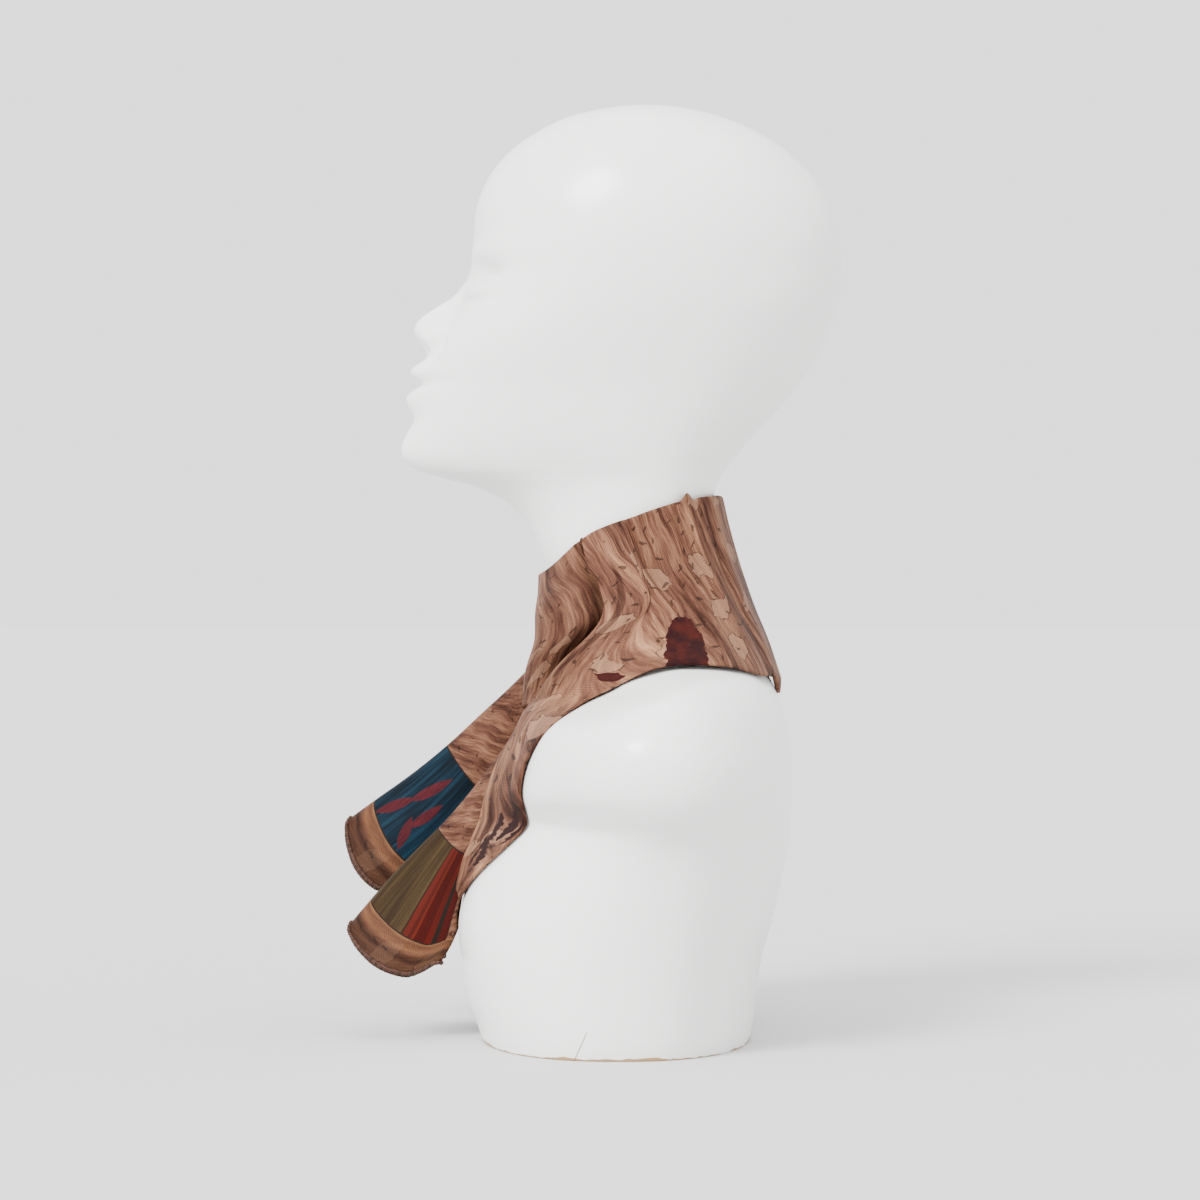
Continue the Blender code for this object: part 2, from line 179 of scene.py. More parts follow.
SWELLS = [Swell(*row) for row in (
    (6, 331.5, 4.4, 8, 4.4),      # the bow of the upper lip
    (0, 330.5, 2.4, 19, 4.6),     # upper lip
    (0, 325, -4.2, 20, 1.9),      # line of the mouth
    (0, 317.5, 4.8, 14, 5.4),     # lower lip
    (0, 307, -1.6, 14, 4.5),      # hollow under the lip
    (0, 291.5, 3.6, 17, 9),       # chin
    (0, 337.5, -1, 3, 5),         # groove of the lip
    (11, 348, 5.4, 4.6, 5),       # wings of the nose
    (6, 342.5, -2.6, 3.2, 2.4),   # nostrils
    (18.5, 345, -3.2, 4, 9),      # fold beside the nose
    (31, 376, -7, 14.5, 9),       # hollows of the eyes
    (31, 370.5, 6.6, 12, 5.8),    # closed lids
    (31, 364.4, -3.2, 13, 1.7),   # line where the lids meet
    (31, 378.2, -2.4, 12, 1.8),   # crease over the lid
    (30, 388, 2, 18, 5.5),        # brows
    (46, 346, 1.8, 16, 14),       # cheekbones
    (56, 64, 4.5, 34, 34),        # chest
)]


def smooth_value(values, where):
    """Read a list of numbers at a fractional place, on a smooth curve through them."""
    last = len(values) - 1
    start = min(max(int(math.floor(where)), 0), last - 1)
    step = where - start
    before, here, after, beyond = (values[min(max(start + k, 0), last)] for k in (-1, 0, 1, 2))
    slope = after - before
    bend = 2.0 * before - 5.0 * here + 4.0 * after - beyond
    twist = 3.0 * here - before - 3.0 * after + beyond
    return 0.5 * (2.0 * here + slope * step + bend * step ** 2 + twist * step ** 3)


def table_row(rows, where):
    """Read a whole table at a fractional row."""
    return type(rows[0])(*(smooth_value(column, where) for column in zip(*rows)))


def bell(distance, spread):
    """Bell curve: 1 in the middle and about a third at its spread."""
    return math.exp(-(distance / spread) ** 2)


def forward_relief(side, height):
    """How far the face or chest stands out of its plain section at a point."""
    forward = sum(
        swell.forward
        * bell(height - swell.height, swell.half_height)
        * bell(abs(side) - swell.side, swell.half_width)
        for swell in SWELLS
        if abs(height - swell.height) < SWELL_REACH * swell.half_height)
    for place, (upper, lower) in enumerate(zip(NOSE_ROWS, NOSE_ROWS[1:])):
        if lower.height <= height < upper.height:
            share = (upper.height - height) / (upper.height - lower.height)
            nose = table_row(NOSE_ROWS, place + share)
            forward += max(nose.forward, 0.0) * bell(side, nose.half_width)
    return forward


def bust_point(section, turn):
    """Point on a section of the bust; the front is at a turn of -90 degrees."""
    across, along = math.cos(turn), math.sin(turn)
    if along < 0.0:
        power, reach = section.front_power, section.middle - section.front
    else:
        power, reach = section.back_power, section.back - section.middle
    side = section.half_width * math.copysign(abs(across) ** (2.0 / power), across)
    depth = section.middle + reach * math.copysign(abs(along) ** (2.0 / power), along)
    if along < 0.0:
        depth -= forward_relief(side, section.height) * min(1.0, -RELIEF_FADE * along)
    return Vector((side, depth, section.height))


def chest_depth(side, height):
    """Depth of the front of the bust beside the middle line, at a height."""
    for index, (low, high) in enumerate(zip(BUST_SECTIONS, BUST_SECTIONS[1:])):
        if height <= high.height:
            break
    share = (height - low.height) / (high.height - low.height)
    section = table_row(BUST_SECTIONS, index + share)
    part = min(abs(side) / section.half_width, 1.0)
    reach = (section.middle - section.front) * (
        1.0 - part ** section.front_power) ** (1.0 / section.front_power)
    return section.middle - reach - forward_relief(side, height)


def new_piece(name, mesh, material):
    """Piece made of a finished mesh and its material."""
    mesh.materials.append(material)
    mesh.shade_smooth()
    return place_object(name, mesh)


bust_mesh = bpy.data.meshes.new("bust")
build = bmesh.new()
turns = []
for index in range(BUST_POINTS):
    even = 2.0 * math.pi * index / BUST_POINTS
    turns.append(even - FRONT_CROWDING * math.cos(even))
rings = []
for index in range((len(BUST_SECTIONS) - 1) * BUST_STEPS + 1):
    section = table_row(BUST_SECTIONS, index / BUST_STEPS)
    rings.append([build.verts.new(bust_point(section, turn) * MM) for turn in turns])
for lower, upper in zip(rings, rings[1:]):
    for start in range(BUST_POINTS):
        end = (start + 1) % BUST_POINTS
        build.faces.new((lower[start], lower[end], upper[end], upper[start]))
crown = build.verts.new(CROWN * MM)
for start in range(BUST_POINTS):
    build.faces.new((rings[-1][start], rings[-1][(start + 1) % BUST_POINTS], crown))
build.faces.new(reversed(rings[0]))
build.to_mesh(bust_mesh)
build.free()

# Sprayed gloss enamel over sanded fibreglass: near white, a clear reflection and the faint
# ripple of a sprayed coat. Along the base edge it is rubbed through to the tan fibreglass, and a
# short hair crack runs up from there.
ENAMEL_HEX = "#F5F4F2"
RUBBED_HEX = "#A8875A"
CRACK_HEX = "#6E5A48"
RIPPLE_SIZE = 9 * MM
RIPPLE_DEPTH = 0.2 * MM
PATCH_SCALE = 45.0
RUBBED_SPREAD = 9.0 * MM
RUBBED_DROP = 3.6 * MM
CRACK_DEPTH = -18.0 * MM
CRACK_WANDER = 3.0 * MM
CRACK_LEAN = 0.38
CRACK_LENGTH = 14 * MM
CRACK_WIDTH = 0.22 * MM


def add_node(owner, kind, inputs=None, stops=(), **settings):
    """Add a node to a material or tree; an input is a value, a node or one of its outputs."""
    tree = getattr(owner, "node_tree", owner)
    node = tree.nodes.new(tree.bl_idname.replace("Tree", "") + kind)
    for name, value in settings.items():
        setattr(node, name, value)
    for index, (position, hex_colour) in enumerate(stops):
        ramp = node.color_ramp.elements
        stop = ramp[index] if index < 2 else ramp.new(position)
        stop.position = position
        stop.color = linear(hex_colour)
    for key, value in (inputs or {}).items():
        if isinstance(value, bpy.types.Node):
            value = value.outputs[0]
        if isinstance(value, bpy.types.NodeSocket):
            tree.links.new(value, node.inputs[key])
        else:
            node.inputs[key].default_value = value
    return node


def calc(material, operation, *values, clamp=False):
    """One step of arithmetic on values, nodes or outputs."""
    return add_node(material, "Math", dict(enumerate(values)), operation=operation, use_clamp=clamp)


def over(material, mask, under_colour, colour):
    """Lay a colour over another where the mask is 1."""
    return add_node(material, "Mix", {0: mask, 6: under_colour, 7: colour}, data_type="RGBA").outputs[2]


enamel, enamel_shader = new_material("Gloss white enamel", {
    "Roughness": 0.32, "IOR": 1.5, "Coat Weight": 0.15, "Coat Roughness": 0.12})
bust_place = add_node(enamel, "TexCoord").outputs["Object"]
ripple = add_node(enamel, "TexNoise", {"Vector": bust_place, "Scale": 1.0 / RIPPLE_SIZE, "Detail": 2.0})
ripple = add_node(enamel, "Bump", {"Height": ripple, "Strength": 0.05, "Distance": RIPPLE_DEPTH})
enamel.node_tree.links.new(ripple.outputs["Normal"], enamel_shader.inputs["Normal"])
side, depth, height = add_node(enamel, "SeparateXYZ", {0: bust_place}).outputs
patches = add_node(enamel, "TexNoise", {"Vector": bust_place, "Scale": PATCH_SCALE, "Detail": 4.0})
rub_edge = calc(enamel, "MULTIPLY_ADD", patches, RUBBED_SPREAD, -RUBBED_DROP)
rubbed = calc(enamel, "LESS_THAN", height, rub_edge)
paint = over(enamel, rubbed, linear(ENAMEL_HEX), linear(RUBBED_HEX))
crack_path = calc(enamel, "MULTIPLY_ADD", height, -CRACK_LEAN, depth)
crack_path = calc(enamel, "MULTIPLY_ADD", patches, CRACK_WANDER, crack_path)
crack = calc(enamel, "COMPARE", crack_path, CRACK_DEPTH, CRACK_WIDTH)
low = calc(enamel, "LESS_THAN", height, CRACK_LENGTH)
low_left = calc(enamel, "GREATER_THAN", calc(enamel, "MULTIPLY", side, low), 0.0)
crack = calc(enamel, "MULTIPLY", crack, low_left)
paint = over(enamel, crack, paint, linear(CRACK_HEX))
enamel.node_tree.links.new(paint, enamel_shader.inputs["Base Color"])

bust = new_piece("bust_shell", bust_mesh, enamel)
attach(bust, "root")
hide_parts("display_bust")

# The foulard's winding: a 90 cm square of printed silk twill with a rolled hem, folded three
# times lengthwise into a band of eight layers. Wound from the front round the back of the neck,
# it crosses over itself in front, and each side runs on down the chest.
WRAP_WALL = 0.9
WRAP_ROW_STEPS = 12
WRAP_COLUMN_STEPS = 12
COLLAR_BOTTOM = 5
LAPEL_STEPS = 8
LAPEL_GAP = 2.9
FOLD_DEPTH = 2.4
FOLD_TURN_STEPS = 4
FOLD_UNDER_STEPS = 3
FOLD_UNDER_STEP = 1.8
NECK_MIDDLE = 14.0
TUCK_KEY = 8
NECK_SIDE_KEY = 15
LEFT_END_DEPTH = 2.0
RIGHT_SIDES = (-98.0, -46.0)
FULL_TUCK = 10.0
CREASE_FADE = 0.6
LAPEL_FADE = 0.7
TUCK_UNDER = 2.2
TUCK_SHARE = 0.04
LAPEL_BLEND = 0.3
CHEST_TURN_IN = 0.75
FRONT_HANG = 0.11
FRONT_TURN = -88.0
FRONT_SPREAD = 22.0
TOP_REACH = 1.2
TAIL_START = 3.6
TAIL_REACH = 1.4
CollarRow = namedtuple(
    "CollarRow",
    "front back middle half_width at_front at_breast at_side at_blade at_back")
COLLAR_ROWS = [CollarRow(*row) for row in (
    (-36.4, 53.6, 10, 49.6, 229, 248, 257, 264, 268),
    (-35.6, 57.2, 11, 52.2, 219, 235.5, 243, 249, 251.5),
    (-35.8, 62.6, 13, 58.4, 208, 221, 228.5, 232, 233),
    (-36.8, 69.2, 16, 69, 196.5, 205, 213.5, 215.5, 214.5),
    (-38.6, 77, 18, 84.5, 184.5, 189, 199, 200.5, 196.5),
    (-41.2, 83, 20, 103, 171, 172.4, 185.4, 186, 178.6),
    (-44.5, 86, 20, 108, 160, 160, 176, 178, 170),
)]
# How the left side lies over the right, for each row of the collar: the turns of its free edge
# and of the pleat's lip, how far the pleat tucks back, how far the front rolls out, how deep
# the hollow behind it is and how far the lip stands up.
PleatRow = namedtuple("PleatRow", "edge lip tuck roll hollow lift")
PLEAT_ROWS = [PleatRow(*row) for row in (
    (-128, -36, 0, 1.6, 0.6, 0.8),
    (-121, -32, 0, 6, -2, 2.6),
    (-113, -25, 4, 11.5, -5.5, 4.6),
    (-107, -26, 9, 12.5, -6, 8),
    (-103, -48, 14, 9, -2.8, 7.8),
    (-101, -68, 9, 3.4, 0.6, 3.6),
)]
# Creases pressed by the folding: where each starts and ends round the neck and down the rows,
# its half width in degrees and how far it stands up or sinks in.
Crease = namedtuple("Crease", "from_turn to_turn from_row to_row width rise")
COLLAR_CREASES = [Crease(*row) for row in (
    (-9, 16.5, -0.6, 3.6, 1.7, -3),
    (-6, 19.5, -0.6, 3.6, 1.6, 1.2),
    (-5, 21, -0.4, 3.9, 3.6, 0.9),
    (-27, 3, -0.5, 4.8, 5, 1.1),
    (-38, -17, -0.5, 2.4, 2.6, -0.9),
    (14, 37, -0.5, 5.5, 4, 1),
    (25, 47, -0.5, 5.5, 1.8, -0.9),
    (33, 52, -0.5, 4.6, 3.4, 0.9),
    (50, 63, 0.4, 5.5, 2, -1),
    (57, 70, -0.5, 5.5, 4, 1),
    (84, 90, -0.5, 3.2, 2.4, -1.1),
    (92, 101, -0.5, 5.5, 5, 1.2),
    (112, 121, 0.8, 5.5, 2.2, -1.2),
    (122, 134, -0.5, 4.2, 4.4, 1.1),
    (141, 158, -0.5, 5.5, 2, -1.1),
    (150, 166, -0.5, 5.5, 5, 1.2),
    (171, 186, 0.6, 4.4, 1.8, -1.2),
    (184, 199, -0.5, 5.5, 4.6, 1),
    (206, 222, -0.5, 3.8, 2.2, -1.3),
    (216, 233, 0.4, 5.5, 4.4, 1.2),
    (238, 246, -0.5, 5.5, 2.6, -1.2),
)]
# Where the top edge stands up at the overlaps and the lower edge hangs: the turn round the neck,
# how far and half how wide in degrees.
EdgeRise = namedtuple("EdgeRise", "turn rise width")
TOP_RISES = [EdgeRise(*row) for row in ((36, 3.6, 3.2), (43, -0.8, 2.6), (205, 1.2, 9))]
TAIL_RISES = [EdgeRise(*row) for row in ((79, -7, 4.5), (66, 2, 6), (140, -2.4, 12))]
# The stretches on the chest: the line of their inner and outer edges, and how far the inner
# edge stands off the chest.
LapelRow = namedtuple("LapelRow", "inner_side inner_height outer_side outer_height lift")
LAPEL_ROWS = [LapelRow(*row) for row in (
    (36, 167, 104, 172, 1.8),
    (31, 155, 104, 155.5, 3.2),
    (29, 142, 97, 139.5, 4.6),
    (28.5, 129, 95, 123.5, 4.9),
    (28.5, 116, 89.5, 110.5, 4.6),
    (28, 102, 76, 96.5, 4.2),
    (26.5, 88, 60, 84, 3.6),
    (25, 75, 43, 71, 2.8),
)]
LapelCrease = namedtuple("LapelCrease", "top bottom start end width rise")
LAPEL_CREASES = [LapelCrease(*row) for row in (
    (0.16, 0.34, -0.1, 0.9, 0.05, 0.9),
    (0.30, 0.50, 0, 0.8, 0.04, -0.9),
    (0.46, 0.66, -0.1, 0.7, 0.07, 1.2),
    (0.66, 0.78, 0.05, 0.6, 0.05, -0.8),
    (0.80, 0.92, -0.1, 0.55, 0.06, 1),
)]


def collar_point(row, turn_degrees, out):
    """Point of the winding: a fractional row, a turn round the neck and a distance out."""
    form = table_row(COLLAR_ROWS, row)
    turn = math.radians(turn_degrees)
    across, along = math.cos(turn), math.sin(turn)
    reach = form.middle - form.front if along < 0.0 else form.back - form.middle
    heights = (form.at_front, form.at_breast, form.at_side, form.at_blade, form.at_back)
    height = smooth_value(heights, 2.0 * (along + 1.0))
    return Vector((
        (form.half_width + out) * across,
        form.middle + (reach + out) * along,
        height))


def collar_line(pleat):
    """Turns and distances out of the key points along one row, from the free edge round."""
    dive = min(pleat.tuck / FULL_TUCK, 1.0)
    start, end = pleat.edge + 7.0, pleat.lip - 8.0
    front = (
        (pleat.edge - 1.0, 1.4),
        (pleat.edge + 0.5, 2.6),
        (start, 2.0 + 0.1 * pleat.roll),
        (start + 0.36 * (end - start), 1.6 + 0.2 * pleat.roll),
        (start + 0.7 * (end - start), 0.8 + pleat.roll),
        (end, 0.5 + 0.8 * pleat.roll + 0.2 * pleat.hollow),
        (pleat.lip - 1.0 - 2.0 * (1.0 - dive), pleat.hollow + 0.9),
        (pleat.lip + 0.55 * pleat.tuck, pleat.hollow + 0.1),
        (pleat.lip + pleat.tuck + 0.4, pleat.hollow + 0.4 * dive),
        (pleat.lip + 0.6 * pleat.tuck + 0.8, pleat.hollow + 1.3 * dive),
        (pleat.lip + 0.15 * pleat.tuck + 1.2, pleat.hollow + 1.9 * dive),
        (pleat.lip + 1.6, pleat.hollow + (pleat.lift - pleat.hollow) * (1.0 - 0.3 * dive)),
        (pleat.lip + 4.5 + 2.0 * (1.0 - dive), pleat.lift),
        (pleat.lip + 13.0, 0.8 * pleat.lift),
        (pleat.lip + 25.0, 0.3 * pleat.lift),
        (0.0, 0.3))
    round_neck = (16, 38, 60, 82, 105, 128, 151, 174, 197, 220, 243, 262)
    return front + tuple((float(turn), 0.0) for turn in round_neck)


def crease_rise(turn, row):
    """How far the pressed creases move the winding at a point, fading at their ends."""
    rise = 0.0
    for crease in COLLAR_CREASES:
        share = (row - crease.from_row) / (crease.to_row - crease.from_row)
        if 0.0 < share < 1.0:
            middle = crease.from_turn + share * (crease.to_turn - crease.from_turn)
            fade = math.sin(math.pi * share) ** CREASE_FADE
            rise += crease.rise * fade * bell(turn - middle, crease.width)
    return rise


def edge_height(turn, row):
    """Rise of the top edge where the layers overlap, and dip of the tail below."""
    top, tail = (sum(edge.rise * bell(turn - edge.turn, edge.width) for edge in edges)
                 for edges in (TOP_RISES, TAIL_RISES))
    return top * max(0.0, 1.0 - row / TOP_REACH) ** 1.5 + tail * max(0.0, row - TAIL_START) / TAIL_REACH


def wrap_point(row, column):
    """Point of the winding at a fractional row and column, with its creases."""
    keys = collar_line(table_row(PLEAT_ROWS, row))
    turn = smooth_value([key[0] for key in keys], column)
    out = smooth_value([key[1] for key in keys], column)
    hang = 1.0 + FRONT_HANG * bell(turn - FRONT_TURN, FRONT_SPREAD)
    point = collar_point(row * hang, turn, out + crease_rise(turn, row))
    point.z += edge_height(turn, row)
    return point


def lapel_point(hand, share, row, under):
    """Point of a chest stretch, share 0 at its inner edge and 1 at its outer one."""
    form = table_row(LAPEL_ROWS, row * (len(LAPEL_ROWS) - 1))
    side = form.inner_side + share * (form.outer_side - form.inner_side)
    height = form.inner_height + share * (form.outer_height - form.inner_height)
    lift = LAPEL_GAP + form.lift * (1.0 - share) ** 2 - under
    for crease in LAPEL_CREASES:
        along = (row - crease.start) / (crease.end - crease.start)
        if 0.0 < along < 1.0:
            middle = crease.top + along * (crease.bottom - crease.top)
            fade = math.sin(math.pi * along) ** LAPEL_FADE * min(1.0, 4.0 * share)
            lift += crease.rise * fade * bell(share - middle, crease.width)
    return Vector((hand * side, chest_depth(side, height) - lift, height))


def to_neck(point):
    """Way from the cloth in towards the middle of the neck."""
    return Vector((-point.x, NECK_MIDDLE - point.y, 0.0)).normalized()


def to_chest(point):
    """Way from the cloth back towards the chest, the same at every point."""
    return Vector((0.0, CHEST_TURN_IN, 0.0))


def turned_edge(edge, beside, inward):
    """Lines that carry cloth round the fold at its edge and back on its inner side."""
    lines = []
    for step in range(1, FOLD_TURN_STEPS + FOLD_UNDER_STEPS + 1):
        bend = math.pi * min(step / FOLD_TURN_STEPS, 1.0)
        deep = 0.5 * FOLD_DEPTH * (1.0 - math.cos(bend))
        back = max(step - FOLD_TURN_STEPS, 0) * FOLD_UNDER_STEP - 0.5 * FOLD_DEPTH * math.sin(bend)
        lines.append([
            point + inward(point) * deep + (other - point).normalized() * back
            for point, other in zip(edge, beside)])
    return lines


# Where each point of the cloth lies on the flat band, in metres: along it and down from its
# upper edge. The materials read it as the UV map "band".
BAND_MAP = "band"
band_place = {}


def carry_on(build, first, lines, way, flip=False):
    """Carry cloth on from a line of its points through more lines, one way on the band."""
    strip = [first]
    for points in lines:
        verts = []
        for before, point in zip(strip[-1], points):
            vert = build.verts.new(point * MM)
            step = (vert.co - before.co).length
            along, down = band_place[before]
            band_place[vert] = (along + way[0] * step, down + way[1] * step)
            verts.append(vert)
        strip.append(verts)
    for upper, lower in zip(strip, strip[1:]):
        if flip:
            upper, lower = lower, upper
        for start in range(len(upper) - 1):
            build.faces.new((upper[start], lower[start], lower[start + 1], upper[start + 1]))
    return strip


def finish_cloth(build, name, wall, material):
    """Turn built cloth into a piece with its band map and its wall on the inner side."""
    layer = build.loops.layers.uv.new(BAND_MAP)
    for face in build.faces:
        for loop in face.loops:
            loop[layer].uv = band_place[loop.vert]
    mesh = bpy.data.meshes.new(name)
    build.to_mesh(mesh)
    build.free()
    piece = new_piece(name, mesh, material)
    layers = piece.modifiers.new("Folded layers", "SOLIDIFY")
    layers.thickness = wall * MM
    layers.offset = -1.0
    return piece


collar_points = []
column_count = (len(collar_line(PLEAT_ROWS[0])) - 1) * WRAP_COLUMN_STEPS + 1
for index in range(COLLAR_BOTTOM * WRAP_ROW_STEPS + 1):
    row = index / WRAP_ROW_STEPS
    collar_points.append([wrap_point(row, c / WRAP_COLUMN_STEPS) for c in range(column_count)])

build = bmesh.new()
top_verts = []
along = 0.0
for index, point in enumerate(collar_points[0]):
    if index:
        steps = [(line[index] - line[index - 1]).length for line in collar_points]
        along += sum(steps) / len(steps) * MM
    vert = build.verts.new(point * MM)
    band_place[vert] = (along, 0.0)
    top_verts.append(vert)
collar_strip = carry_on(build, top_verts, collar_points[1:], (0, 1))
carry_on(build, top_verts, turned_edge(collar_points[0], collar_points[1], to_neck), (0, -1), flip=True)


def add_lapel(hand, first, last):
    """Carry the columns from first to last on down the chest, and turn in their outer edge."""
    columns = range(first, last + 1)
    top = [collar_points[-1][column] for column in columns]
    widths = [abs(point.x) for point in top]
    inner, outer = min(widths), max(widths)
    starts = []
    for place, (width, point) in enumerate(zip(widths, top)):
        share = (width - inner) / (outer - inner)
        tucked = hand > 0 and place < widths.index(inner)
        under = TUCK_UNDER * min(share / TUCK_SHARE, 1.0) ** 0.5 if tucked else 0.0
        starts.append((share, under, point - lapel_point(hand, share, 0.0, under)))
    lines = []
    count = (len(LAPEL_ROWS) - 1) * LAPEL_STEPS
    for index in range(1, count + 1):
        row = index / count
        part = min(row / LAPEL_BLEND, 1.0)
        fade = (1.0 - part) ** 2 * (1.0 + 2.0 * part)
        lines.append([lapel_point(hand, share, row, under) + offset * fade
                      for share, under, offset in starts])
    strip = carry_on(build, collar_strip[-1][first:last + 1], lines, (0, 1))
    at_outer, beside = (-1, -2) if hand > 0 else (0, 1)
    edge = [line[at_outer] for line in [top] + lines]
    turned = turned_edge(edge, [line[beside] for line in [top] + lines], to_chest)
    carry_on(build, [line[at_outer] for line in strip], turned, (hand, 0), flip=hand > 0)


bottom = collar_points[-1]
left_first = TUCK_KEY * WRAP_COLUMN_STEPS
left_last = max(c for c in range(NECK_SIDE_KEY * WRAP_COLUMN_STEPS) if bottom[c].y < LEFT_END_DEPTH)
right_first, right_last = (
    max(c for c in range(column_count) if bottom[c].x < side) for side in RIGHT_SIDES)
add_lapel(1, left_first, left_last)
add_lapel(-1, right_first, right_last)
under_edge = turned_edge(bottom, collar_points[-2], to_neck)
for first, last in ((0, left_first), (left_last, right_first), (right_last, column_count - 1)):
    carry_on(build, collar_strip[-1][first:last + 1], [line[first:last + 1] for line in under_edge], (0, 1))

# Silk twill printed in browns: a satin cloth whose fine diagonal rib softens its shine. The
# print has long streaks like wood grain, pale leaves with thin dark outlines, small dark sprigs
# and a few big maroon leaves.
STREAK_STOPS = ((0.33, "#170B08"), (0.41, "#351E16"), (0.49, "#5E3D2F"), (0.57, "#805A44"),
                (0.68, "#A77B5E"))
STREAK_LEAN = -16.0
STREAKS = ((0.0105, 0.085, 0.40), (0.0034, 0.050, 0.36), (0.0009, 0.012, 0.24))
RIB_SPACING = 1.5 * MM
RIB_STRENGTH = 0.3
RIB_SHARE = 0.35
RIB_DEPTH = 0.2 * MM
RIB_GAIN = 0.5
SLUB_SCALE = 900.0
SLUB_GAIN = 2.0
SLUB_DROP = 0.6
WAVE_SCALE = 24.0
WAVE_SHIFT = (0.010, 0.010, 0.0)
RAGGED_SCALE = 210.0
RAGGED_SHIFT = (0.006, 0.006, 0.0)
GLOW_SCALE = 110.0
GLOW_GAIN = 3.2
GLOW_DROP = 1.35
PRINT_EDGE = 0.01
INK_STRENGTH = 0.72
PALE_PRINT_HEX = "#9A745C"
# The ink is also the colour of the painted shade between the twill's ribs.
INK_AND_RIB_SHADE_HEX = "#1C1412"
MAROON_HEX = "#240A0C"
GLOW_HEX = "#431710"
# The spray's dark colour also serves as painted shade; the two strengths below are those of the painted
# crease lines and of the soft painted shades.
SPRAY_AND_SHADE_HEX = "#200B0A"
PAINTED_CREASE_STRENGTH = 0.6
PAINTED_SHADE_STRENGTH = 0.38
LEAF_CELL = 27 * MM
LEAF_STRENGTH = 0.45
LEAF_SHARE = 0.52
LEAF_OUTLINE = 0.055
NO_LEAF = 9.0
LEAF_LENGTH = 10.0 * MM
LEAF_WIDTH = 5.4 * MM
SPRIG_CELL = 8.5 * MM
SPRIG_SHARE = 0.36
SPRIG_LENGTH = 2.4 * MM
SPRIG_WIDTH = 0.75 * MM
# Shapes laid on the band: where each lies, how far it is turned and its half sizes. Printed: the
# big maroon leaf and its bud, and the dark spray on the left of the chest. Painted shade: two dark
# lines, in the narrow crease of the collar and in the valley of the front fold, and a soft painted
# shade over the front roll and the valley.
PrintAndShadeShape = namedtuple("PrintAndShadeShape", "along down turn half_length half_width")
MAROON_LEAVES = [PrintAndShadeShape(*row) for row in (
    (0.1745, 0.093, 95, 0.031, 0.0105),
    (0.1529, 0.0968, 5, 0.0034, 0.0022),
)]
DARK_LEAVES = [PrintAndShadeShape(*row) for row in (
    (0.1465, 0.195, 92, 0.012, 0.0017),
    (0.1515, 0.19, 98, 0.01, 0.0014),
    (0.144, 0.208, 86, 0.012, 0.0016),
    (0.149, 0.211, 80, 0.011, 0.0016),
    (0.1545, 0.198, 95, 0.009, 0.0014),
)]
PAINTED_CREASE_SHADES = [PrintAndShadeShape(*row) for row in (
    (0.1615, 0.029, 68, 0.038, 0.001),
    (0.1285, 0.056, 96, 0.042, 0.0026),
)]
PAINTED_SOFT_SHADES = [PrintAndShadeShape(*row) for row in (
    (0.08, 0.04, 90, 0.045, 0.026),
    (0.1255, 0.088, 90, 0.038, 0.011),
)]


def new_twill(name):
    """Satin finish of silk twill, with a diagonal rib drawn coarse enough to show."""
    silk, shader = new_material(name, {
        "Roughness": 0.55, "Specular IOR Level": 0.04, "Sheen Weight": 0.01, "Sheen Roughness": 0.4})
    place = add_node(silk, "UVMap", uv_map=BAND_MAP).outputs["UV"]
    along, down, _ = add_node(silk, "SeparateXYZ", {0: place}).outputs
    phase = calc(silk, "MULTIPLY", calc(silk, "ADD", along, down), 2.0 * math.pi / RIB_SPACING)
    rib = calc(silk, "SINE", phase)
    slub = add_node(silk, "TexNoise", {"Vector": place, "Scale": SLUB_SCALE, "Detail": 3.0})
    height = calc(silk, "MULTIPLY_ADD", rib, RIB_SHARE, slub)
    bump = add_node(silk, "Bump", {"Height": height, "Strength": 0.35, "Distance": RIB_DEPTH})
    silk.node_tree.links.new(bump.outputs["Normal"], shader.inputs["Normal"])
    return silk, place, rib, slub


def dye_and_shade_ribs(silk, colour, rib, slub):
    """Use a printed colour, with painted shade between the ribs, and a little darker where threads are thin.
    """
    grain = calc(silk, "MULTIPLY_ADD", slub, SLUB_GAIN, -SLUB_DROP)
    shade = calc(silk, "MULTIPLY_ADD", rib, RIB_GAIN, grain, clamp=True)
    shade = calc(silk, "MULTIPLY", shade, RIB_STRENGTH)
    dyed_and_rib_shaded = over(silk, shade, colour, linear(INK_AND_RIB_SHADE_HEX))
    silk.node_tree.links.new(dyed_and_rib_shaded, silk.node_tree.nodes["Principled BSDF"].inputs["Base Color"])


def shifted(silk, place, scale, detail, shift):
    """Place moved about by a noise."""
    noise = add_node(silk, "TexNoise", {"Vector": place, "Scale": scale, "Detail": detail})
    return add_node(silk, "VectorMath", {0: noise.outputs["Color"], 1: shift, 2: place},
                    operation="MULTIPLY_ADD").outputs[0]


def streaks(silk, place, size, detail=3.0, turn=0.0, **noise):
    """Noise drawn out into streaks of a size across and along."""
    drawn = add_node(silk, "Mapping", {
        "Vector": place, "Rotation": (0.0, 0.0, turn), "Scale": (*size, 1.0)}, vector_type="TEXTURE")
    return add_node(silk, "TexNoise", {"Vector": drawn, "Scale": 1.0, "Detail": detail, **noise})


def leaf_field(silk, local, half_length, half_width, blunt=False):
    """Value that is under 1 inside a pointed or blunt leaf along X, and 1 on its outline."""
    along, across, _ = add_node(silk, "SeparateXYZ", {0: local}).outputs
    along = calc(silk, "DIVIDE", along, half_length)
    across = calc(silk, "DIVIDE", across, half_width)
    if blunt:
        across = calc(silk, "MULTIPLY", across, across)
    else:
        across = calc(silk, "ABSOLUTE", across)
    return calc(silk, "MULTIPLY_ADD", along, along, across)


